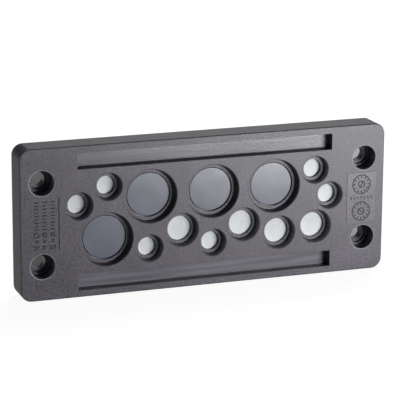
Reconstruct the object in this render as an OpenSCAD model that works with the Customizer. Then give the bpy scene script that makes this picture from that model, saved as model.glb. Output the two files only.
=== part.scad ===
// Cable entry plate for a 112 x 36 mm panel cut-out.
// A stiff moulded frame carries round membranes that are pierced by the cables,
// and a soft seal in its back face closes the joint to the panel.
// X runs along the plate, Z is up, the front faces -Y and the back face lies in Y = 0.

/* [Plate] */
// Length of the plate along X
plate_w = 147; // [140:0.5:156]
// Height of the plate along Z
plate_h = 58.5; // [56:0.5:64]
// Thickness of the plate from the panel to its front face
plate_t = 11; // [10:0.1:16]
// Radius of the four corners in the front view
corner_r = 4.2; // [2:0.1:6]
// Rounding of the front edge all round
edge_r = 0.5; // [0.2:0.1:1.2]

/* [Panel cut-out] */
// Length of the panel cut-out that the entries lie over
cutout_w = 112; // [110:0.5:114]
// Height of the panel cut-out
cutout_h = 36; // [35:0.5:38]

/* [Screw holes] */
// Distance between the screw holes along X
screw_pitch_x = 130; // [127:0.5:134]
// Distance between the screw holes along Z
screw_pitch_z = 32; // [28:0.5:36]
// Clearance hole for the screw shank
screw_d = 5.8; // [4.3:0.1:6.4]
// Bore that takes the screw head
head_d = 9.6; // [8.6:0.1:10.6]
// Depth of the head bore below the front face
head_depth = 5.6; // [4:0.1:6.5]
// Relief step under the head, diameter
relief_d = 7.6; // [7:0.1:8.2]
// Relief step under the head, depth
relief_depth = 1.4; // [0.6:0.1:2]

/* [Cable entries] */
// Mouth of a large entry
large_d = 20.8; // [18:0.1:21.4]
// Mouth of a medium entry
medium_d = 13.1; // [11:0.1:13.8]
// Mouth of a small entry
small_d = 10.7; // [9:0.1:11.4]
// Bevel round every mouth
mouth_bevel = 0.25; // [0.1:0.05:0.5]
// Depth of the lead-in from the front face to the lip
lead_in_depth = 3.2; // [2:0.1:4]
// How far the lead-in draws in towards the lip, per side
lead_in_taper = 0.5; // [0:0.1:1]
// Width of the lip ring in front of a membrane
lip_w = 1.2; // [0.6:0.1:1.8]
// Thickness of the lip in front of a large membrane
large_lip_t = 0.5; // [0.4:0.1:1.8]
// Thickness of the lip in front of a medium membrane
medium_lip_t = 1; // [0.6:0.1:2]
// Thickness of the lip in front of a small membrane
small_lip_t = 1.3; // [0.6:0.1:2]
// How much wider than the lip the passage behind a membrane is, per side
passage_extra = 0.3; // [0:0.1:0.6]

/* [Entry layout] */
// Length of the cut-out that the places below are given in; the entries spread with the cut-out
layout_w = 112; // [106:0.5:118]
// Height of the cut-out that the heights below are given in
layout_h = 36; // [34:0.5:38]
// Distance between the large entries of the upper row
large_pitch = 25; // [24:0.1:26]
// Middle of the upper row of large entries along X
large_row_x = 2.5; // [1:0.1:4]
// Place along X of the large entry at the lower left
low_large_x = -40; // [-40.6:0.1:-39.4]
// Height of the two medium entries that lie between the large ones
medium_row_z = -6.6; // [-7.6:0.1:-6]
// Place along X of the lowest medium entry
low_medium_x = 29.7; // [29.2:0.1:30.6]
// Height of the lowest medium entry
low_medium_z = -11; // [-11.5:0.1:-10.8]
// Place along X of the medium entry at the lower right
end_medium_x = 44.8; // [44:0.1:45.4]
// Height of the medium entry at the lower right
end_medium_z = -9.9; // [-11:0.1:-9.4]
// Height of the small entry at the left end
left_small_z = 6.1; // [5.6:0.1:6.8]
// Place along X of the small entry at the upper left
upper_left_small_x = -39.2; // [-39.8:0.1:-38.6]
// Place along X of the small entry at the lower left
lower_left_small_x = -23; // [-23.8:0.1:-22]
// Place along X of the small entry at the upper right
upper_right_small_x = 44.5; // [43.6:0.1:45]
// Height of the small entry at the right end
right_small_z = 2.1; // [1.4:0.1:2.6]

/* [Membranes] */
// Thickness of a membrane at its rim
rim_t = 1.6; // [1.2:0.1:2]
// Thickness of a membrane where a cable pierces it
web_t = 0.8; // [0.4:0.1:1.1]
// How far a membrane's rim reaches behind the lip, per side
rim_grip = 1; // [0.6:0.1:1.2]
// Gap round a membrane's rim in its groove
rim_clear = 0.1; // [0.05:0.05:0.2]
// Width of the slope between a membrane's rim and its thin middle
web_slope = 0.8; // [0.3:0.1:1.2]

/* [Marking channels] */
// Length of a marking channel
channel_l = 102.5; // [90:0.5:110]
// Width of a marking channel
channel_w = 6.3; // [4:0.1:7]
// Depth of a marking channel below the front face
channel_depth = 4.2; // [2:0.1:5]
// Land left between a marking channel and the edge of the plate
channel_land = 2.7; // [2:0.1:4]

/* [Marking fields] */
// Height that the right-hand field stands proud of the front face
field_rise = 0.15; // [0.1:0.05:0.5]
// Width of the right-hand field
field_w = 12.2; // [8:0.1:13]
// How far the middle of the right-hand field lies inside the row of screw holes
field_inset = 0.9; // [0:0.1:1.5]
// Height of both marking fields
field_h = 20.2; // [16:0.1:21]
// Corner radius of the right-hand field
field_corner_r = 0.6; // [0.3:0.1:1.5]
// Height that the rule beside the left-hand field stands proud of the front face
rule_rise = 0.3; // [0.2:0.05:0.5]
// Width of the rule beside the left-hand field
rule_w = 1.1; // [0.5:0.1:1.5]
// Distance of the rule from the row of screw holes
rule_inset = 7; // [6:0.1:7.2]

/* [Panel seal] */
// Width of the soft seal
seal_w = 2.6; // [2:0.1:3]
// Height that the seal stands proud of the back face when it is free
seal_rise = 0.6; // [0.3:0.1:1]
// Depth of the seal groove in the back face
seal_groove_depth = 1.6; // [1.2:0.1:2.2]
// Gap between the seal and each side of its groove
seal_clear = 0.1; // [0.05:0.05:0.2]
// Land between the cut-out and the seal groove
seal_land = 1.3; // [1:0.1:1.6]
// Corner radius of the seal along its middle
seal_corner_r = 4; // [3:0.1:6]

/* [Hidden] */
$fn = 96;

// Extra length of every cutting tool past the faces that it opens
past = 1;

// The entries fill the cut-out: a row's centre lies half a mouth inside its edge
large_row_z = (cutout_h - large_d) / 2;
small_row_z = (cutout_h - small_d) / 2;
small_end_x = (cutout_w - small_d) / 2;

// The entries' centres in the front view, X then Z
spread_x = cutout_w / layout_w;
spread_z = cutout_h / layout_h;
large_at = [
    [spread_x * low_large_x, -large_row_z],
    [spread_x * (large_row_x - large_pitch), large_row_z],
    [spread_x * large_row_x, large_row_z],
    [spread_x * (large_row_x + large_pitch), large_row_z]
];
medium_at = [
    [spread_x * (large_row_x - large_pitch / 2), spread_z * medium_row_z],
    [spread_x * (large_row_x + large_pitch / 2), spread_z * medium_row_z],
    [spread_x * low_medium_x, spread_z * low_medium_z],
    [spread_x * end_medium_x, spread_z * end_medium_z]
];
small_at = [
    [-small_end_x, spread_z * left_small_z],
    [spread_x * upper_left_small_x, small_row_z],
    [spread_x * lower_left_small_x, -small_row_z],
    [spread_x * large_row_x, -small_row_z],
    [spread_x * upper_right_small_x, small_row_z],
    [small_end_x, spread_z * right_small_z]
];

channel_z = plate_h / 2 - channel_land - channel_w / 2;
seal_mid_x = cutout_w / 2 + seal_land + seal_clear + seal_w / 2;
seal_mid_z = cutout_h / 2 + seal_land + seal_clear + seal_w / 2;
seal_crown_r = seal_w / 2;

frame_colour = [0.37, 0.37, 0.39];
large_colour = [0.49, 0.51, 0.54];
pale_colour = [0.86, 0.86, 0.88];
seal_colour = [0.16, 0.16, 0.17];

// Radius of the opening in the lip, which is also the part of a membrane that shows
function lip_r(mouth_d) = mouth_d / 2 - lead_in_taper - lip_w;

// Level of a membrane's front face above the back of the plate
function membrane_level(lip_t) = plate_t - lead_in_depth - lip_t;

// Stands a shape drawn face up on its long edge, front towards -Y
module upright() {
    rotate([90, 0, 0]) children();
}

// Section through the plate: a bar with its two front corners rounded
module bar_section(width) {
    translate([-width / 2, 0]) square([width, plate_t - edge_r]);
    translate([-width / 2 + edge_r, 0]) square([width - 2 * edge_r, plate_t]);
    for (side = [-1, 1])
        translate([side * (width / 2 - edge_r), plate_t - edge_r]) circle(edge_r);
}

// Half section of a corner post, to be turned about the corner's axis
module corner_section() {
    square([corner_r, plate_t - edge_r]);
    square([corner_r - edge_r, plate_t]);
    translate([corner_r - edge_r, plate_t - edge_r]) circle(edge_r);
}

// The plate before anything is cut: two crossed bars and four corner posts
module blank() {
    rotate([90, 0, 0])
        linear_extrude(plate_h - 2 * corner_r, center = true) bar_section(plate_w);
    rotate([90, 0, 90])
        linear_extrude(plate_w - 2 * corner_r, center = true) bar_section(plate_h);
    for (x = [-1, 1], y = [-1, 1])
        translate([x * (plate_w / 2 - corner_r), y * (plate_h / 2 - corner_r), 0])
            rotate_extrude() corner_section();
}

// One cable entry, turned as a single stepped cut: bevelled mouth, tapered lead-in,
// lip, groove for the membrane's rim and the passage to the back
module entry_cut(mouth_d, lip_t) {
    mouth_r = mouth_d / 2;
    lip = lip_r(mouth_d);
    seat = membrane_level(lip_t);
    rotate_extrude() polygon([
        [0, -past],
        [lip + passage_extra, -past],
        [lip + passage_extra, seat - rim_t - rim_clear],
        [lip + rim_grip + rim_clear, seat - rim_t - rim_clear],
        [lip + rim_grip + rim_clear, seat],
        [lip, seat],
        [lip, seat + lip_t],
        [mouth_r - lead_in_taper, seat + lip_t],
        [mouth_r, plate_t - mouth_bevel],
        [mouth_r + mouth_bevel, plate_t],
        [mouth_r + mouth_bevel, plate_t + past],
        [0, plate_t + past]
    ]);
}

// One screw hole: bevelled head bore, relief step and shank hole
module screw_cut() {
    head_r = head_d / 2;
    head_floor = plate_t - head_depth;
    rotate_extrude() polygon([
        [0, -past],
        [screw_d / 2, -past],
        [screw_d / 2, head_floor - relief_depth],
        [relief_d / 2, head_floor - relief_depth],
        [relief_d / 2, head_floor],
        [head_r, head_floor],
        [head_r, plate_t - mouth_bevel],
        [head_r + mouth_bevel, plate_t],
        [head_r + mouth_bevel, plate_t + past],
        [0, plate_t + past]
    ]);
}

// Carries a section round the seal's rectangular path with round corners
module along_seal_path() {
    straight_x = 2 * (seal_mid_x - seal_corner_r);
    straight_z = 2 * (seal_mid_z - seal_corner_r);
    for (end = [0, 180]) {
        rotate([0, 0, end]) {
            translate([0, seal_mid_z, 0]) rotate([90, 0, 90])
                linear_extrude(straight_x, center = true) children();
            translate([seal_mid_x, 0, 0]) rotate([90, 0, 0])
                linear_extrude(straight_z, center = true) children();
            for (turn = [0, 90])
                rotate([0, 0, turn])
                    translate(turn == 0 ? [seal_mid_x - seal_corner_r, seal_mid_z - seal_corner_r, 0]
                                        : [seal_mid_z - seal_corner_r, seal_mid_x - seal_corner_r, 0])
                        rotate_extrude(angle = 90) translate([seal_corner_r, 0]) children();
        }
    }
}

// Section of the seal groove, open at the back face
module groove_section() {
    half = seal_w / 2 + seal_clear;
    translate([-half, -past]) square([2 * half, seal_groove_depth + past]);
}

// Section of the seal: flat foot in the groove, round crown towards the panel
module seal_section() {
    crown_level = seal_crown_r - seal_rise;
    translate([-seal_w / 2, crown_level]) square([seal_w, seal_groove_depth - crown_level]);
    intersection() {
        translate([0, crown_level]) circle(seal_crown_r);
        translate([-seal_w / 2, -seal_rise]) square([seal_w, seal_crown_r]);
    }
}

// Rectangle with round corners, about its middle
module round_field(width, height, radius) {
    square([width - 2 * radius, height], center = true);
    square([width, height - 2 * radius], center = true);
    for (x = [-1, 1], y = [-1, 1])
        translate([x * (width / 2 - radius), y * (height / 2 - radius)]) circle(radius);
}

// Raised field at the right-hand end and raised rule beside the left-hand field
module marking_fields() {
    translate([screw_pitch_x / 2 - field_inset, 0, plate_t - field_rise])
        linear_extrude(2 * field_rise) round_field(field_w, field_h, field_corner_r);
    translate([rule_inset - screw_pitch_x / 2, 0, plate_t])
        cube([rule_w, field_h, 2 * rule_rise], center = true);
}

// The moulded frame
module frame() {
    color(frame_colour) upright() difference() {
        union() {
            blank();
            marking_fields();
        }
        for (at = large_at) translate(at) entry_cut(large_d, large_lip_t);
        for (at = medium_at) translate(at) entry_cut(medium_d, medium_lip_t);
        for (at = small_at) translate(at) entry_cut(small_d, small_lip_t);
        for (x = [-1, 1], y = [-1, 1])
            translate([x * screw_pitch_x / 2, y * screw_pitch_z / 2, 0]) screw_cut();
        for (side = [-1, 1])
            translate([-channel_l / 2, side * channel_z - channel_w / 2, plate_t - channel_depth])
                cube([channel_l, channel_w, channel_depth + past]);
        along_seal_path() groove_section();
    }
}

// The soft seal round the cut-out
module panel_seal() {
    color(seal_colour) upright() along_seal_path() seal_section();
}

// A round membrane: thick rim held in the groove, thin middle, flat front
module membrane(at, mouth_d, lip_t, tint) {
    shown_r = lip_r(mouth_d);
    rim_r = shown_r + rim_grip;
    color(tint) upright() translate([at[0], at[1], membrane_level(lip_t)])
        rotate_extrude() polygon([
            [0, 0],
            [0, -web_t],
            [shown_r - web_slope, -web_t],
            [shown_r, -rim_t],
            [rim_r, -rim_t],
            [rim_r, 0]
        ]);
}

frame();
panel_seal();
for (i = [0 : len(large_at) - 1])
    membrane(large_at[i], large_d, large_lip_t, large_colour);
for (i = [0 : len(medium_at) - 1])
    membrane(medium_at[i], medium_d, medium_lip_t, pale_colour);
for (i = [0 : len(small_at) - 1])
    membrane(small_at[i], small_d, small_lip_t, pale_colour);
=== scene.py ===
"""Cable entry plate, dressed for a picture: a moulded frame with round membranes and a soft panel seal.

Lengths are in metres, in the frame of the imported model: X along the plate, Z up, front towards -Y.
"""
import math

import bpy
import numpy as np
from mathutils import Matrix, Vector


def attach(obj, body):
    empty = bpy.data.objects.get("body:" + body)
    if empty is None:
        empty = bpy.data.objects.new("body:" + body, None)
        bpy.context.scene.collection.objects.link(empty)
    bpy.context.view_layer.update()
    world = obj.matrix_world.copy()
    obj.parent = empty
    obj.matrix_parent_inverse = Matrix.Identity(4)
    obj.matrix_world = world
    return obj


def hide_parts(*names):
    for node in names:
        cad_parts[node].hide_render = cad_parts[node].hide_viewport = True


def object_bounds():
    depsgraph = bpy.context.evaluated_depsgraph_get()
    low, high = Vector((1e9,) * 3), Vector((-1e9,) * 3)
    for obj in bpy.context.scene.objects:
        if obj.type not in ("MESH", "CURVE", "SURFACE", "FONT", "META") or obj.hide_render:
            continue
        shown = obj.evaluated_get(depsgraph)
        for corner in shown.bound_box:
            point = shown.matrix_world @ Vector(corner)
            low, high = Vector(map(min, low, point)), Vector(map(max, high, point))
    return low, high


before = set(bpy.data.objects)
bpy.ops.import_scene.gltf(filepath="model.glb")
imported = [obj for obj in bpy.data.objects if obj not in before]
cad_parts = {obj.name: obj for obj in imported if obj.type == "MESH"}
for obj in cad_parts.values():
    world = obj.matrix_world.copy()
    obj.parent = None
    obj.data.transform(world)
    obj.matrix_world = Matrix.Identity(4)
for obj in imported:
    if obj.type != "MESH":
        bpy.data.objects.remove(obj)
cad_low, cad_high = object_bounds()

# Frame
# One injection moulding of glass-filled polyamide, dark grey all through, from a spark-eroded mould, so
# its skin is finely grained and a little mottled. Ground inserts shape the channel floors, a polished
# one the raised field at the right, and the short ends are dull where the gates were trimmed.
MM = 0.001
FACE_Y = -11.0 * MM
CHANNEL_HALF_L = 51.25 * MM
CHANNEL_Z = 23.4 * MM
CHANNEL_HALF_W = 3.15 * MM
CHANNEL_FLOOR_Y = FACE_Y + 4.2 * MM
FLOOR_TOLERANCE = 0.05 * MM
DULL_END_X = 73.2 * MM
# Depths behind the face over which the front edges get a painted highlight
EDGE_HIGHLIGHT_START = 0.02 * MM
EDGE_HIGHLIGHT_FULL = 0.06 * MM
EDGE_HIGHLIGHT_T = 0.3 * MM
EDGE_HIGHLIGHT_SHARE = 0.45
SCREW_X = 65.0 * MM
SCREW_Z = 16.0 * MM
SCREW_MOUTH_R = 5.1 * MM
DARK_EDGE_LINE_Z = 29.05 * MM
DARK_EDGE_LINE_T = 0.55 * MM
FIELD_X = 64.1 * MM
FIELD_HALF_W = 6.1 * MM
FIELD_TOP_Y = FACE_Y - 0.1 * MM
FIELD_SHEEN_SHARE = 0.15
POLYAMIDE_DARK = "#2F2B35"
POLYAMIDE_LIGHT = "#4F4B56"
# Lighter tones of the channel floors: painted sheen, with lengthwise streaks
POLYAMIDE_FLOOR_SHEEN = "#46444D"
POLYAMIDE_STREAK_SHEEN = "#67656E"
# Pale tone of real scuffs, also used for painted edge highlights and the field's painted sheen
POLYAMIDE_SCUFF_AND_HIGHLIGHT = "#8C8B90"
# Painted highlight of the screw-hole mouths
POLYAMIDE_MOUTH_HIGHLIGHT = "#A6A6AA"
DARK_EDGE_LINE_TONE = "#1C1B1E"
CLOUD_SIZE = 9 * MM
CLOUD_SHARE = 0.35
MOTTLE_SIZE = 1.0 * MM
TONE_SPREAD = 0.16
SCUFF_SIZE = 7 * MM
SCUFF_HALF_W = 0.012
SCUFF_PATCH_SIZE = 2.4 * SCUFF_SIZE
SCUFF_PATCH_RANGE = (0.56, 0.66)
SCUFF_SHARE = 0.4
STREAK_LENGTH = 30 * MM
STREAK_WIDTH = 1.6 * MM
NOISE_RANGE = (0.3, 0.7)
GRAIN_SIZE = 0.5 * MM
GRAIN_DEPTH = 0.15 * MM
GRAIN_STRENGTH = 0.6
INSERT_GRAIN_STRENGTH = 0.35
EDGE_SOFTNESS = 0.12 * MM
SKIN_ROUGHNESS = (0.36, 0.44)
SMOOTH_ROUGHNESS = 0.33
DULL_ROUGHNESS = 0.48
DARK_EDGE_LINE_ROUGHNESS = 0.7
POLYAMIDE_IOR = 1.53


def linear(hex_colour):
    """Linear RGBA of an sRGB hex colour: each channel with the sRGB curve undone."""
    channels = np.array([int(hex_colour[i:i + 2], 16) for i in (1, 3, 5)]) / 255
    curve = np.where(channels <= 0.04045, channels / 12.92, ((channels + 0.055) / 1.055) ** 2.4)
    return (*curve.tolist(), 1.0)


def add(tree, kind, inputs=(), **properties):
    """Adds one shader node, sets its properties and fills each input with a value or a link."""
    node = tree.nodes.new("ShaderNode" + kind)
    for name, value in properties.items():
        setattr(node, name, value)
    for name, value in dict(inputs).items():
        if isinstance(value, bpy.types.NodeSocket):
            tree.links.new(value, node.inputs[name])
        else:
            node.inputs[name].default_value = value
    return node


def start_material(name):
    """A new material with an empty node tree."""
    material = bpy.data.materials.new(name)
    material.use_nodes = True
    material.node_tree.nodes.clear()
    return material, material.node_tree


polyamide, tree = start_material("moulded_glass_filled_polyamide")
place = add(tree, "TexCoord").outputs["Object"]
axis = add(tree, "SeparateXYZ", {"Vector": place}).outputs

# Slow clouds of tone from the melt under a finer mottle
cloud = add(tree, "TexNoise", {"Vector": place, "Scale": 1 / CLOUD_SIZE, "Detail": 2.0}).outputs["Fac"]
mottle = add(tree, "TexNoise", {"Vector": place, "Scale": 1 / MOTTLE_SIZE, "Detail": 3.0}).outputs["Fac"]
tone = add(tree, "Math", {0: cloud, 1: CLOUD_SHARE, 2: mottle}, operation="MULTIPLY_ADD").outputs[0]
tone_middle = 0.5 * (1 + CLOUD_SHARE)
tone = add(tree, "MapRange", {
    "Value": tone, 1: tone_middle - TONE_SPREAD, 2: tone_middle + TONE_SPREAD,
}).outputs["Result"]
body = add(tree, "Mix", {
    0: tone, 6: linear(POLYAMIDE_DARK), 7: linear(POLYAMIDE_LIGHT),
}, data_type="RGBA").outputs[2]

# Short pale scuffs: thin level lines of a noise, kept only where a second noise is high
ridge = add(tree, "TexNoise", {
    "Vector": place, "Scale": 1 / SCUFF_SIZE, "Detail": 4.0, "Distortion": 1.2,
}).outputs["Fac"]
ridge = add(tree, "Math", {0: ridge, 1: 0.5}, operation="SUBTRACT").outputs[0]
ridge = add(tree, "Math", {0: ridge}, operation="ABSOLUTE").outputs[0]
ridge = add(tree, "MapRange", {"Value": ridge, 1: 0.0, 2: SCUFF_HALF_W, 3: 1.0, 4: 0.0}).outputs["Result"]
patch = add(tree, "TexNoise", {"Vector": place, "Scale": 1 / SCUFF_PATCH_SIZE}).outputs["Fac"]
patch = add(tree, "MapRange", {
    "Value": patch, 1: SCUFF_PATCH_RANGE[0], 2: SCUFF_PATCH_RANGE[1],
}).outputs["Result"]
scuff = add(tree, "Math", {0: ridge, 1: patch}, operation="MULTIPLY").outputs[0]
scuff = add(tree, "Math", {0: scuff, 1: SCUFF_SHARE}, operation="MULTIPLY").outputs[0]
body = add(tree, "Mix", {0: scuff, 6: body, 7: linear(POLYAMIDE_SCUFF_AND_HIGHLIGHT)}, data_type="RGBA").outputs[2]

# Painted highlight: edges that open to the front are drawn lighter, for the light their bevels catch
edge = add(tree, "MapRange", {
    "Value": axis["Y"], 1: FACE_Y + EDGE_HIGHLIGHT_START, 2: FACE_Y + EDGE_HIGHLIGHT_FULL,
}).outputs["Result"]
edge_end = add(tree, "Math", {0: axis["Y"], 1: FACE_Y + EDGE_HIGHLIGHT_T}, operation="LESS_THAN").outputs[0]
edge = add(tree, "Math", {0: edge, 1: edge_end}, operation="MULTIPLY").outputs[0]
edge = add(tree, "Math", {0: edge, 1: EDGE_HIGHLIGHT_SHARE}, operation="MULTIPLY").outputs[0]
body = add(tree, "Mix", {0: edge, 6: body, 7: linear(POLYAMIDE_SCUFF_AND_HIGHLIGHT)}, data_type="RGBA").outputs[2]

# Painted highlight on the mouths of the screw holes, lighter still: within a radius of the nearest
# screw's axis
off_x = add(tree, "Math", {0: axis["X"]}, operation="ABSOLUTE").outputs[0]
off_z = add(tree, "Math", {0: axis["Z"]}, operation="ABSOLUTE").outputs[0]
from_screw = add(tree, "CombineXYZ", {
    "X": add(tree, "Math", {0: off_x, 1: SCREW_X}, operation="SUBTRACT").outputs[0],
    "Z": add(tree, "Math", {0: off_z, 1: SCREW_Z}, operation="SUBTRACT").outputs[0],
}).outputs["Vector"]
from_screw = add(tree, "VectorMath", {0: from_screw}, operation="LENGTH").outputs["Value"]
mouth_highlight = add(tree, "Math", {0: from_screw, 1: SCREW_MOUTH_R}, operation="LESS_THAN").outputs[0]
mouth_highlight = add(tree, "Math", {0: mouth_highlight, 1: edge_end}, operation="MULTIPLY").outputs[0]
body = add(tree, "Mix", {0: mouth_highlight, 6: body, 7: linear(POLYAMIDE_MOUTH_HIGHLIGHT)}, data_type="RGBA").outputs[2]

# A fine dark line along the two long front edges
line = add(tree, "Math", {0: off_z, 1: DARK_EDGE_LINE_Z}, operation="GREATER_THAN").outputs[0]
line_end = add(tree, "Math", {0: axis["Y"], 1: FACE_Y + DARK_EDGE_LINE_T}, operation="LESS_THAN").outputs[0]
line = add(tree, "Math", {0: line, 1: line_end}, operation="MULTIPLY").outputs[0]
body = add(tree, "Mix", {0: line, 6: body, 7: linear(DARK_EDGE_LINE_TONE)}, data_type="RGBA").outputs[2]

# The polished field, what stands proud of the face at the right-hand end: drawn lighter as a painted
# sheen
field = add(tree, "Math", {0: axis["X"], 1: FIELD_X}, operation="SUBTRACT").outputs[0]
field = add(tree, "Math", {0: field}, operation="ABSOLUTE").outputs[0]
field = add(tree, "Math", {0: field, 1: FIELD_HALF_W}, operation="LESS_THAN").outputs[0]
proud = add(tree, "Math", {0: axis["Y"], 1: FIELD_TOP_Y}, operation="LESS_THAN").outputs[0]
field = add(tree, "Math", {0: field, 1: proud}, operation="MULTIPLY").outputs[0]
field_sheen = add(tree, "Math", {0: field, 1: FIELD_SHEEN_SHARE}, operation="MULTIPLY").outputs[0]
body = add(tree, "Mix", {0: field_sheen, 6: body, 7: linear(POLYAMIDE_SCUFF_AND_HIGHLIGHT)}, data_type="RGBA").outputs[2]

# The ground channel floors, inside the channels' outline and at their depth: painted sheen, streaked
# lengthwise
in_length = add(tree, "Math", {0: off_x, 1: CHANNEL_HALF_L}, operation="LESS_THAN").outputs[0]
off_middle = add(tree, "Math", {0: off_z, 1: CHANNEL_Z}, operation="SUBTRACT").outputs[0]
off_middle = add(tree, "Math", {0: off_middle}, operation="ABSOLUTE").outputs[0]
in_width = add(tree, "Math", {0: off_middle, 1: CHANNEL_HALF_W}, operation="LESS_THAN").outputs[0]
off_floor = add(tree, "Math", {0: axis["Y"], 1: CHANNEL_FLOOR_Y}, operation="SUBTRACT").outputs[0]
off_floor = add(tree, "Math", {0: off_floor}, operation="ABSOLUTE").outputs[0]
at_depth = add(tree, "Math", {0: off_floor, 1: FLOOR_TOLERANCE}, operation="LESS_THAN").outputs[0]
ground = add(tree, "Math", {0: in_length, 1: in_width}, operation="MULTIPLY").outputs[0]
ground = add(tree, "Math", {0: ground, 1: at_depth}, operation="MULTIPLY").outputs[0]
stretched = add(tree, "Mapping", {
    "Vector": place,
    "Scale": (1 / STREAK_LENGTH, 1 / STREAK_LENGTH, 1 / STREAK_WIDTH),
}).outputs["Vector"]
streak = add(tree, "TexNoise", {"Vector": stretched, "Scale": 1.0, "Detail": 1.0}).outputs["Fac"]
streak = add(tree, "MapRange", {
    "Value": streak, 1: NOISE_RANGE[0], 2: NOISE_RANGE[1],
}).outputs["Result"]
floor_sheen = add(tree, "Mix", {
    0: streak, 6: linear(POLYAMIDE_FLOOR_SHEEN), 7: linear(POLYAMIDE_STREAK_SHEEN),
}, data_type="RGBA").outputs[2]
body = add(tree, "Mix", {0: ground, 6: body, 7: floor_sheen}, data_type="RGBA").outputs[2]

# Spark-eroded grain, drawn coarser than the real 0.1 mm so that it shows, on softly rounded edges;
# it is shallower on the inserts, so the channel floors and the field look smoother than the face
grain = add(tree, "TexNoise", {"Vector": place, "Scale": 1 / GRAIN_SIZE, "Detail": 3.0}).outputs["Fac"]
soft_edge = add(tree, "Bevel", {"Radius": EDGE_SOFTNESS}, samples=4).outputs["Normal"]
smooth = add(tree, "Math", {0: ground, 1: field}, operation="MAXIMUM").outputs[0]
relief = add(tree, "Mix", {0: smooth, 2: GRAIN_STRENGTH, 3: INSERT_GRAIN_STRENGTH}).outputs[0]
skin = add(tree, "Bump", {
    "Height": grain, "Strength": relief, "Distance": GRAIN_DEPTH, "Normal": soft_edge,
}).outputs["Normal"]

# Gloss: satin on the grained skin, smoother on the inserts, dull at the short ends and on the dark edge
# lines
rough = add(tree, "MapRange", {
    "Value": mottle, 1: NOISE_RANGE[0], 2: NOISE_RANGE[1], 3: SKIN_ROUGHNESS[0], 4: SKIN_ROUGHNESS[1],
}).outputs["Result"]
at_end = add(tree, "Math", {0: off_x, 1: DULL_END_X}, operation="GREATER_THAN").outputs[0]
rough = add(tree, "Mix", {0: smooth, 2: rough, 3: SMOOTH_ROUGHNESS}).outputs[0]
rough = add(tree, "Mix", {0: at_end, 2: rough, 3: DULL_ROUGHNESS}).outputs[0]
rough = add(tree, "Mix", {0: line, 2: rough, 3: DARK_EDGE_LINE_ROUGHNESS}).outputs[0]
shader = add(tree, "BsdfPrincipled", {
    "Base Color": body, "Roughness": rough, "IOR": POLYAMIDE_IOR, "Normal": skin,
}).outputs["BSDF"]
add(tree, "OutputMaterial", {"Surface": shader})

frame_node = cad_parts["frame"]
frame_node.data.materials.clear()
frame_node.data.materials.append(polyamide)

# Size legend on the left-hand field
# Three raised columns moulded with the frame, one for each size of entry and read from below:
# how many entries there are, a cross, a ring of that rank and a plain scale of ticks.
LEGEND_X = [-67.1 * MM, -64.1 * MM, -60.9 * MM]
LEGEND_COUNT = [4, 4, 6]
LEGEND_RING_R = [0.95 * MM, 0.8 * MM, 0.65 * MM]
LEGEND_DIGIT_Z = -8.6 * MM
LEGEND_CROSS_Z = -6.1 * MM
LEGEND_CROSS_L = 1.2 * MM
LEGEND_RING_Z = -3.7 * MM
LEGEND_TICK_Z = -1.6 * MM
LEGEND_TICK_STEP = 1.3 * MM
LEGEND_TICK_L = (1.5 * MM, 0.9 * MM)
LEGEND_TICKS = 9
DIGIT_W = 1.1 * MM
DIGIT_H = 1.9 * MM
MARK_W = 0.42 * MM
LEGEND_RISE = 0.25 * MM
MARK_SHADE_TONE = "#2E2D30"
RING_STEPS = 48
RING_SECTION_STEPS = 12
BAR_STEPS = 15
BAR_SECTION_STEPS = 10
BAR_TIP = 0.02

# Strokes of the digits: middle of each stroke across and up the cell, its length and its turn
DIGIT_STROKES = {
    4: [(-0.5, 0.25, 0.5, 90), (0.5, 0, 1, 90), (0, 0, 0.99, 0)],
    6: [(-0.5, 0, 1, 90), (0.5, -0.25, 0.5, 90), (0, 0.5, 0.99, 0), (0, 0, 0.99, 0), (0, -0.5, 0.99, 0)],
}

# Skin that the marks and the soft pieces share: a slight mottle in tone and gloss over a fine grain
SKIN_TONE_RANGE = (0.35, 0.65)
SKIN_ROUGHNESS_SPREAD = 0.02
SKIN_GRAIN_STRENGTH = 0.3
SKIN_IOR = 1.5


def grid_faces(rows, columns, close_rows):
    """Quads of a grid of points, joined round along its columns and, where asked, along its rows."""
    i = np.arange(rows if close_rows else rows - 1)[:, None]
    j = np.arange(columns)[None, :]
    a = i * columns + j
    b = i * columns + (j + 1) % columns
    c = (i + 1) % rows * columns + (j + 1) % columns
    d = (i + 1) % rows * columns + j
    return np.stack([a, d, c, b], axis=-1).reshape(-1, 4)


def raised_rings(x, z, radius, width, face_y, rise):
    """Rings with an elliptic section: (radius + width/2 cos b) turned by angle a, height rise sin b."""
    x, z, radius = (np.asarray(v, float)[:, None, None] for v in (x, z, radius))
    a = np.linspace(0, 2 * np.pi, RING_STEPS, endpoint=False)[None, :, None]
    b = np.linspace(0, 2 * np.pi, RING_SECTION_STEPS, endpoint=False)[None, None, :]
    reach = radius + width / 2 * np.cos(b)
    points = np.stack([
        x + reach * np.cos(a),
        face_y - rise * np.sin(b) + 0 * (a + x),
        z + reach * np.sin(a),
    ], axis=-1)
    start = RING_STEPS * RING_SECTION_STEPS * np.arange(len(x))[:, None, None]
    quads = grid_faces(RING_STEPS, RING_SECTION_STEPS, True)[None] + start
    return points.reshape(-1, 3), [quads.reshape(-1, 4)]


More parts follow.
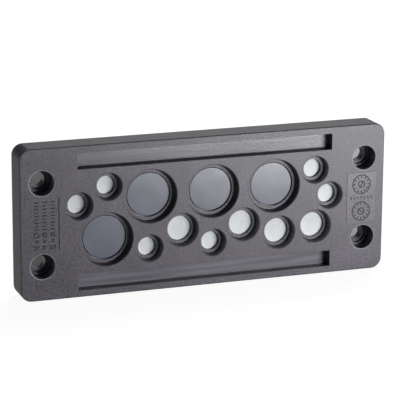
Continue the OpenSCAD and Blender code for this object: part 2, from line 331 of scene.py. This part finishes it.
def raised_bars(strokes, width, face_y, rise):
    """Bars with round ends, each given by its middle, length and turn in the face.

    Along a bar the half width and the height shrink over the round ends by k = sqrt(1 - e^2),
    where e is the way into the end over half the width; the section is an ellipse of those two,
    and the last of it, a small tip, is closed flat.
    """
    x, z, length, turn = (np.asarray(v, float)[:, None, None] for v in zip(*strokes))
    s = np.sin(np.linspace(-1, 1, BAR_STEPS) * np.pi / 2)[None, :, None]
    b = np.linspace(2 * np.pi, 0, BAR_SECTION_STEPS, endpoint=False)[None, None, :]
    along = s * (length + width) / 2
    into_end = np.maximum(np.abs(along) - length / 2, 0) / (width / 2)
    k = np.sqrt(np.clip(1 - into_end ** 2, BAR_TIP ** 2, 1))
    across = width / 2 * k * np.cos(b)
    along = along + 0 * b
    points = np.stack([
        x + along * np.cos(turn) - across * np.sin(turn),
        face_y - rise * k * np.sin(b),
        z + along * np.sin(turn) + across * np.cos(turn),
    ], axis=-1)
    bar_points = BAR_STEPS * BAR_SECTION_STEPS
    start = bar_points * np.arange(len(x))[:, None, None]
    quads = grid_faces(BAR_STEPS, BAR_SECTION_STEPS, False)[None] + start
    tip = np.arange(BAR_SECTION_STEPS)[None, None, :]
    caps = np.concatenate([start + tip, start + bar_points - 1 - tip], axis=1)
    return points.reshape(-1, 3), [quads.reshape(-1, 4), caps.reshape(-1, BAR_SECTION_STEPS)]


def put_mesh(name, shapes, material):
    """One object of several shapes, each its points and arrays of faces, smooth, riding on the plate."""
    points, faces = [], []
    for shape_points, face_arrays in shapes:
        start = sum(len(p) for p in points)
        points.append(shape_points)
        for corners in face_arrays:
            faces += (corners + start).tolist()
    mesh = bpy.data.meshes.new(name)
    mesh.from_pydata(np.concatenate(points), [], faces)
    mesh.shade_smooth()
    mesh.materials.append(material)
    piece = bpy.data.objects.new(name, mesh)
    bpy.context.scene.collection.objects.link(piece)
    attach(piece, "root")
    return piece


def matt_skin(name, dark, light, mottle_size, grain_size, grain_height, roughness, gloss):
    """Material of one colour mottled between two tones, with a fine grain in its skin."""
    material, tree = start_material(name)
    place = add(tree, "TexCoord").outputs["Object"]
    mottle = add(tree, "TexNoise", {
        "Vector": place, "Scale": 1 / mottle_size, "Detail": 3.0,
    }).outputs["Fac"]
    tone = add(tree, "MapRange", {
        "Value": mottle, 1: SKIN_TONE_RANGE[0], 2: SKIN_TONE_RANGE[1],
    }).outputs["Result"]
    colour = add(tree, "Mix", {0: tone, 6: linear(dark), 7: linear(light)}, data_type="RGBA").outputs[2]
    grain = add(tree, "TexNoise", {
        "Vector": place, "Scale": 1 / grain_size, "Detail": 2.0,
    }).outputs["Fac"]
    skin = add(tree, "Bump", {
        "Height": grain, "Strength": SKIN_GRAIN_STRENGTH, "Distance": grain_height,
    }).outputs["Normal"]
    rough = add(tree, "MapRange", {
        "Value": mottle, 1: NOISE_RANGE[0], 2: NOISE_RANGE[1],
        3: roughness - SKIN_ROUGHNESS_SPREAD, 4: roughness + SKIN_ROUGHNESS_SPREAD,
    }).outputs["Result"]
    shader = add(tree, "BsdfPrincipled", {
        "Base Color": colour, "Roughness": rough, "IOR": SKIN_IOR, "Specular IOR Level": gloss,
        "Normal": skin,
    }).outputs["BSDF"]
    add(tree, "OutputMaterial", {"Surface": shader})
    return material


def upward_digit(digit, x, z):
    """Strokes of a digit that is read from below: across the cell runs up, up the cell runs left."""
    return [
        (x - up * DIGIT_H, z + across * DIGIT_W, length * (DIGIT_H if turn else DIGIT_W),
         math.radians(turn + 90))
        for across, up, length, turn in DIGIT_STROKES[digit]
    ]


# The marks are drawn darker than the face: painted shade for the shading of their low relief
shaded_mark_polyamide = matt_skin(
    "polyamide_marks_painted_shade", MARK_SHADE_TONE, POLYAMIDE_DARK,
    mottle_size=MOTTLE_SIZE, grain_size=GRAIN_SIZE, grain_height=0.02 * MM, roughness=0.5, gloss=0.5)
strokes = []
for column_x, count in zip(LEGEND_X, LEGEND_COUNT):
    strokes += upward_digit(count, column_x, LEGEND_DIGIT_Z)
    strokes += [(column_x, LEGEND_CROSS_Z, LEGEND_CROSS_L, math.radians(turn)) for turn in (45, 135)]
    strokes += [
        (column_x, LEGEND_TICK_Z + i * LEGEND_TICK_STEP, LEGEND_TICK_L[i % 2], 0.0)
        for i in range(LEGEND_TICKS)
    ]
put_mesh("size_legend", [
    raised_bars(strokes, MARK_W, FACE_Y, LEGEND_RISE),
    raised_rings(LEGEND_X, [LEGEND_RING_Z] * 3, LEGEND_RING_R, MARK_W, FACE_Y, LEGEND_RISE),
], shaded_mark_polyamide)

# Date dials on the right-hand field
# Two round dials as moulders set them in a mould: rings, twelve ticks and a pointer, raised in the
# frame's own polyamide and drawn darker as painted shade, with a row of plain ticks between them.
FIELD_Y = FACE_Y - 0.15 * MM
DIAL_Z = [5.4 * MM, -5.4 * MM]
DIAL_R = 3.7 * MM
HUB_R = 1.3 * MM
DIAL_TICKS = 12
DIAL_TICK_R = 2.9 * MM
DIAL_TICK_L = 0.5 * MM
DIAL_MARK_W = 0.45 * MM
DIAL_RISE = 0.14 * MM
POINTER_L = 1.5 * HUB_R
POINTER_TURN = [math.radians(60), math.radians(150)]
ROW_TICKS = 7
ROW_STEP = 1.4 * MM
ROW_TICK_L = 0.7 * MM

strokes = []
for dial_z, pointer in zip(DIAL_Z, POINTER_TURN):
    strokes += [
        (FIELD_X + DIAL_TICK_R * math.cos(turn), dial_z + DIAL_TICK_R * math.sin(turn), DIAL_TICK_L, turn)
        for turn in np.linspace(0, 2 * math.pi, DIAL_TICKS, endpoint=False)
    ]
    strokes += [(FIELD_X, dial_z, POINTER_L, pointer)]
strokes += [
    (FIELD_X + (i - (ROW_TICKS - 1) / 2) * ROW_STEP, 0.0, ROW_TICK_L, math.pi / 2)
    for i in range(ROW_TICKS)
]
put_mesh("date_dials", [
    raised_bars(strokes, DIAL_MARK_W, FIELD_Y, DIAL_RISE),
    raised_rings([FIELD_X] * 4, DIAL_Z * 2, [DIAL_R] * 2 + [HUB_R] * 2, DIAL_MARK_W, FIELD_Y, DIAL_RISE),
], shaded_mark_polyamide)

# Large membranes
# Blue-grey discs of thermoplastic elastomer, moulded with a thick rim and a thin flat middle.
# The skin is satin and a little uneven, as a soft sheet held at its rim is.
RIM_T = 1.6 * MM
WEB_T = 0.8 * MM
RIM_GRIP = 1.0 * MM
WEB_SLOPE = 0.8 * MM
EDGE_ROUND = 0.2 * MM
CORE_LINE_W = 0.2 * MM
POLE_SHARE = 0.01
PAD_STEPS = 40
RIM_STEPS = 16
CORNER_STEPS = 5
WEB_STEPS = 8
TURN_STEPS = 72
LARGE_SHOWN_R = 8.7 * MM
LARGE_FRONT_Y = -7.3 * MM
LARGE_AT = [(-40.0, -7.6), (-22.5, 7.6), (2.5, 7.6), (27.5, 7.6)]
LARGE_PAD_R = 8.4 * MM
LARGE_MOAT = 0.5 * MM
LARGE_DISH = -0.06 * MM
LARGE_WAVE = 0.02 * MM
LARGE_PHASE_STEP = 1.7
LARGE_DARK = "#4A4F5F"
LARGE_LIGHT = "#4F5464"


def membrane(at, shown_r, front_y, dish, wave, ring_r, ring_depth, pad_r, moat, phase):
    """Turned disc: a profile of radius r and depth y carried round by angle a.

    The front sinks by dish (1 - q^2) with q = r over the shown radius, by a shallow round groove
    at ring_r and by a moat from pad_r to the lip, each side of it a smooth step s^2 (3 - 2 s), and
    waves by wave q^2 (1 - q) (sin 2a + cos 3a); the rim's corners are quarter circles, the back
    is hollowed to the web by a slope, and a small cap closes each pole.
    """
    rim_r = shown_r + RIM_GRIP
    quarter = np.linspace(0, np.pi / 2, CORNER_STEPS)
    inner_r = np.linspace(POLE_SHARE, 1, PAD_STEPS) * (pad_r - EDGE_ROUND)
    outer_r = np.linspace(pad_r - 0.8 * EDGE_ROUND, rim_r - EDGE_ROUND, RIM_STEPS)
    front_r = np.concatenate([inner_r, outer_r])
    q = np.minimum(front_r / shown_r, 1)
    groove = ring_depth * np.exp(-((front_r - ring_r) / CORE_LINE_W) ** 2)
    past_pad = np.clip((front_r - pad_r) / EDGE_ROUND + 0.5, 0, 1)
    short_of_lip = np.clip((shown_r - front_r) / EDGE_ROUND + 1.5, 0, 1)
    groove += moat * past_pad ** 2 * (3 - 2 * past_pad) * short_of_lip ** 2 * (3 - 2 * short_of_lip)
    front = np.stack([front_r, dish * (1 - q ** 2) + groove], axis=-1)
    corner = EDGE_ROUND * np.stack([np.sin(quarter) - 1, 1 - np.cos(quarter)], axis=-1) + [rim_r, 0]
    back_corner = corner[::-1] * [1, -1] + [0, RIM_T]
    back = np.array([
        [shown_r + EDGE_ROUND, RIM_T],
        [shown_r, RIM_T],
        [shown_r - WEB_SLOPE, WEB_T + dish],
        [shown_r - 1.3 * WEB_SLOPE, WEB_T + dish],
    ])
    web_r = np.linspace(0.85, POLE_SHARE, WEB_STEPS) * (shown_r - WEB_SLOPE)
    web = np.stack([web_r, WEB_T + dish * (1 + 0 * web_r)], axis=-1)
    profile = np.concatenate([front, corner[1:], back_corner, back, web])
    a = np.linspace(0, 2 * np.pi, TURN_STEPS, endpoint=False)[None, :]
    r = profile[:, :1]
    q = np.minimum(r / shown_r, 1)
    swing = np.sin(2 * a + phase) + np.cos(3 * a + 2 * phase)
    y = front_y + profile[:, 1:] + wave * q ** 2 * (1 - q) * swing
    points = np.stack([at[0] * MM + r * np.cos(a), y, at[1] * MM + r * np.sin(a)], axis=-1)
    rows = len(profile)
    pole = np.arange(TURN_STEPS)
    caps = np.stack([pole, rows * TURN_STEPS - 1 - pole])
    return points.reshape(-1, 3), [grid_faces(rows, TURN_STEPS, False), caps]


large_elastomer = matt_skin(
    "blue_grey_elastomer_satin", LARGE_DARK, LARGE_LIGHT,
    mottle_size=6 * MM, grain_size=0.5 * MM, grain_height=0.01 * MM, roughness=0.3, gloss=0.9)
for i, at in enumerate(LARGE_AT):
    disc = put_mesh(f"large_disc_{i + 1}", [
        membrane(
            at, LARGE_SHOWN_R, LARGE_FRONT_Y, LARGE_DISH, LARGE_WAVE, ring_r=0.0, ring_depth=0.0,
            pad_r=LARGE_PAD_R, moat=LARGE_MOAT, phase=LARGE_PHASE_STEP * i),
    ], large_elastomer)
    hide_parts(f"large_membrane_{i + 1}")

# Medium and small membranes
# The same turned form in an off-white elastomer, matt and slightly cloudy,
# with the faint round trace of the mould's core in the middle.
MEDIUM_SHOWN_R = 4.85 * MM
MEDIUM_FRONT_Y = -6.8 * MM
MEDIUM_AT = [(-10.0, -6.6), (15.0, -6.6), (29.7, -11.0), (44.8, -9.9)]
SMALL_SHOWN_R = 3.65 * MM
SMALL_FRONT_Y = -6.5 * MM
SMALL_AT = [(-50.65, 6.1), (-39.2, 12.65), (-23.0, -12.65), (2.5, -12.65), (44.5, 12.65), (50.65, 2.1)]
PALE_DISH = 0.25 * MM
PALE_WAVE = 0.02 * MM
PALE_PHASE_STEP = 2.3
CORE_SHARE = 0.62
CORE_DEPTH = 0.03 * MM
PALE_DARK = "#CCD0D3"
PALE_LIGHT = "#D6DADD"
pale_elastomer = matt_skin(
    "off_white_elastomer", PALE_DARK, PALE_LIGHT,
    mottle_size=2.5 * MM, grain_size=0.4 * MM, grain_height=0.01 * MM, roughness=0.46, gloss=0.5)
for size, shown_r, front_y, places in (
    ("medium", MEDIUM_SHOWN_R, MEDIUM_FRONT_Y, MEDIUM_AT),
    ("small", SMALL_SHOWN_R, SMALL_FRONT_Y, SMALL_AT),
):
    for i, at in enumerate(places):
        disc = put_mesh(f"{size}_disc_{i + 1}", [
            membrane(
                at, shown_r, front_y, PALE_DISH, PALE_WAVE, ring_r=CORE_SHARE * shown_r,
                ring_depth=CORE_DEPTH, pad_r=shown_r, moat=0.0, phase=PALE_PHASE_STEP * i),
        ], pale_elastomer)
        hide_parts(f"{size}_membrane_{i + 1}")

# Panel seal
# A soft black cord of foamed elastomer laid round the back face in its groove,
# with a flat foot, a round crown and a fine open skin.
SEAL_MID_X = 58.7 * MM
SEAL_MID_Z = 20.7 * MM
SEAL_CORNER_R = 4.0 * MM
SEAL_HALF_W = 1.3 * MM
SEAL_RISE = 0.59 * MM
SEAL_FOOT_Y = -1.6 * MM
SEAL_CORNER_STEPS = 13
SEAL_CROWN_STEPS = 13
SEAL_DARK = "#1F1F21"
SEAL_LIGHT = "#2C2C2E"


def seal_mesh():
    """Sweep of a D-shaped section along a rectangle with round corners.

    The path is four straights and four quarter circles; at each point the section's offset u lies
    along the outward normal and its depth v along Y.
    """
    turn = np.linspace(0, np.pi / 2, SEAL_CORNER_STEPS)
    corner = np.arange(4)[:, None] * np.pi / 2 + turn[None, :]
    sign_x = np.array([1, -1, -1, 1])[:, None]
    sign_z = np.array([1, 1, -1, -1])[:, None]
    normal = np.stack([np.cos(corner), np.sin(corner)], axis=-1)
    centre = np.stack([
        sign_x * (SEAL_MID_X - SEAL_CORNER_R) + 0 * corner,
        sign_z * (SEAL_MID_Z - SEAL_CORNER_R) + 0 * corner,
    ], axis=-1)
    path = (centre + SEAL_CORNER_R * normal).reshape(-1, 1, 2)
    normal = normal.reshape(-1, 1, 2)
    b = np.linspace(np.pi, 0, SEAL_CROWN_STEPS)
    crown = np.stack([np.cos(b), np.sin(b) - 1], axis=-1) * SEAL_HALF_W + [0, SEAL_RISE]
    foot = np.array([[SEAL_HALF_W, SEAL_FOOT_Y], [-SEAL_HALF_W, SEAL_FOOT_Y]])
    section = np.concatenate([crown, foot])[None]
    flat = path + normal * section[..., :1]
    points = np.stack([flat[..., 0], section[..., 1] + 0 * flat[..., 0], flat[..., 1]], axis=-1)
    return points.reshape(-1, 3), [grid_faces(len(path), section.shape[1], True)]


seal_elastomer = matt_skin(
    "black_foamed_elastomer", SEAL_DARK, SEAL_LIGHT,
    mottle_size=1.5 * MM, grain_size=0.3 * MM, grain_height=0.04 * MM, roughness=0.75, gloss=0.4)
seal_cord = put_mesh("seal_cord", [seal_mesh()], seal_elastomer)
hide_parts("panel_seal")

# Floor and backdrop
# A pale sweep of paper under the plate; it shows as white to the eye
# and still takes the plate's shadow, and the room round it is white too.
floor_z = cad_low.z
FLOOR_HALF = 4.0
FLOOR_GLOW = 0.93
MIRROR_GLOW = 0.53
ROOM_FILL = 0.03
ROOM_MIRROR = 0.12
PAPER_WHITE = "#8C8C8C"
GLOW_WHITE = "#FFFFFF"
floor_mesh = bpy.data.meshes.new("studio_floor")
floor_mesh.from_pydata(
    [(-FLOOR_HALF, -FLOOR_HALF, floor_z), (FLOOR_HALF, -FLOOR_HALF, floor_z),
     (FLOOR_HALF, FLOOR_HALF, floor_z), (-FLOOR_HALF, FLOOR_HALF, floor_z)],
    [], [(0, 1, 2, 3)],
)
studio_floor = bpy.data.objects.new("studio_floor", floor_mesh)
bpy.context.scene.collection.objects.link(studio_floor)
paper, tree = start_material("white_paper_floor")
rays = add(tree, "LightPath").outputs
seen = add(tree, "Math", {
    0: rays["Is Camera Ray"], 1: rays["Is Transmission Ray"],
}, operation="MAXIMUM").outputs[0]
seen = add(tree, "Math", {0: seen, 1: FLOOR_GLOW}, operation="MULTIPLY").outputs[0]
mirrored = add(tree, "Math", {0: rays["Is Glossy Ray"], 1: MIRROR_GLOW}, operation="MULTIPLY").outputs[0]
strength = add(tree, "Math", {0: seen, 1: mirrored}, operation="MAXIMUM").outputs[0]
glow = add(tree, "Emission", {"Color": linear(GLOW_WHITE), "Strength": strength}).outputs["Emission"]
matt = add(tree, "BsdfDiffuse", {"Color": linear(PAPER_WHITE)}).outputs["BSDF"]
both = add(tree, "AddShader", {0: glow, 1: matt}).outputs[0]
add(tree, "OutputMaterial", {"Surface": both})
floor_mesh.materials.append(paper)

world = bpy.data.worlds.new("studio")
bpy.context.scene.world = world
world.use_nodes = True
tree = world.node_tree
tree.nodes.clear()
rays = add(tree, "LightPath").outputs
strength = add(tree, "MapRange", {
    "Value": rays["Is Glossy Ray"], 3: ROOM_FILL, 4: ROOM_MIRROR,
}).outputs["Result"]
seen = add(tree, "Math", {
    0: rays["Is Camera Ray"], 1: rays["Is Transmission Ray"],
}, operation="MAXIMUM").outputs[0]
strength = add(tree, "Math", {0: strength, 1: seen}, operation="MAXIMUM").outputs[0]
room = add(tree, "Background", {"Color": linear(GLOW_WHITE), "Strength": strength}).outputs["Background"]
add(tree, "OutputWorld", {"Surface": room})

# Grey card of painted shade
# A sheet of graduated board, darker to the left, laid flat on the paper close behind the plate,
# so that the screw holes look out on grey: painted shade in place of the shadow behind the plate.
CARD_NEAR_Y = 15 * MM
CARD_FAR_Y = 215 * MM
CARD_NEAR_X = (-66.5 * MM, 77.5 * MM)
CARD_FAR_X = (-14 * MM, 172 * MM)
CARD_T = 0.3 * MM
CARD_SHADE_DARK = "#7F7E81"
CARD_SHADE_PALE = "#D8D7DB"
CARD_FADE_X = (-45 * MM, 130 * MM)
card_z = floor_z + CARD_T
card_mesh = bpy.data.meshes.new("shade_card")
card_mesh.from_pydata(
    [(CARD_NEAR_X[0], CARD_NEAR_Y, card_z), (CARD_NEAR_X[1], CARD_NEAR_Y, card_z),
     (CARD_FAR_X[1], CARD_FAR_Y, card_z), (CARD_FAR_X[0], CARD_FAR_Y, card_z)],
    [], [(0, 1, 2, 3)],
)
shade_card = bpy.data.objects.new("shade_card", card_mesh)
bpy.context.scene.collection.objects.link(shade_card)
board, tree = start_material("graduated_painted_shade_board")
axis = add(tree, "SeparateXYZ", {"Vector": add(tree, "TexCoord").outputs["Object"]}).outputs
across = add(tree, "MapRange", {
    "Value": axis["X"], 1: CARD_FADE_X[0], 2: CARD_FADE_X[1],
}, interpolation_type="SMOOTHSTEP").outputs["Result"]
grey = add(tree, "Mix", {
    0: across, 6: linear(CARD_SHADE_DARK), 7: linear(CARD_SHADE_PALE),
}, data_type="RGBA").outputs[2]
matt = add(tree, "BsdfDiffuse", {"Color": grey}).outputs["BSDF"]
add(tree, "OutputMaterial", {"Surface": matt})
card_mesh.materials.append(board)

# Lamps
# A strip light low in front on the right draws the sheen along the face, and another low behind on
# the right lights the back; a large soft box stands high behind, and a small one lifts the top edge.


def soft_box(name, place, target, width, height, power):
    """A rectangular area lamp at a place, facing a target, unseen itself."""
    lamp = bpy.data.lights.new(name, "AREA")
    lamp.shape = "RECTANGLE"
    lamp.size = width
    lamp.size_y = height
    lamp.energy = power
    box = bpy.data.objects.new(name, lamp)
    box.location = place
    box.rotation_mode = "QUATERNION"
    box.rotation_quaternion = (Vector(target) - Vector(place)).to_track_quat("-Z", "Y")
    box.visible_camera = False
    bpy.context.scene.collection.objects.link(box)


soft_box("key", place=(0.23, -0.40, 0.0), target=(0.04, 0, 0), width=0.20, height=0.05, power=1.9)
soft_box("rear", place=(0.50, 0.45, -0.005), target=(0, 0, -0.005), width=0.30, height=0.03, power=3.0)
soft_box("back", place=(0.30, 0.45, 0.70), target=(0, 0, 0), width=0.50, height=0.50, power=3.5)
soft_box("edge", place=(0.30, 0.80, 0.30), target=(0, 0, 0), width=0.40, height=0.30, power=0.2)

# Camera
# The photograph's view, from the left and above,
# through a long lens on a 36 mm sensor; the picture is square.
VIEW_YAW = math.radians(20.01)
VIEW_PITCH = math.radians(14.70)
VIEW_ROLL = math.radians(0.36)
VIEW_DISTANCE = 0.7866
VIEW_TARGET = Vector((-2.92 * MM, FACE_Y, 4.62 * MM))
FOCAL_PIXELS = 2071.5
PICTURE_PIXELS = 400
SENSOR = 36.0
ahead = Vector((
    math.sin(VIEW_YAW) * math.cos(VIEW_PITCH),
    math.cos(VIEW_YAW) * math.cos(VIEW_PITCH),
    -math.sin(VIEW_PITCH),
))
right = Vector((math.cos(VIEW_YAW), -math.sin(VIEW_YAW), 0))
up = right.cross(ahead)
turned_right = math.cos(VIEW_ROLL) * right + math.sin(VIEW_ROLL) * up
turned_up = math.cos(VIEW_ROLL) * up - math.sin(VIEW_ROLL) * right
lens = bpy.data.cameras.new("camera")
lens.sensor_width = SENSOR
lens.lens = FOCAL_PIXELS / PICTURE_PIXELS * SENSOR
lens.clip_start = 10 * MM
camera = bpy.data.objects.new("camera", lens)
camera.rotation_mode = "QUATERNION"
camera.rotation_quaternion = Matrix((turned_right, turned_up, -ahead)).transposed().to_quaternion()
camera.location = VIEW_TARGET - ahead * VIEW_DISTANCE
bpy.context.scene.collection.objects.link(camera)
bpy.context.scene.camera = camera
bpy.context.scene.view_settings.view_transform = "Standard"
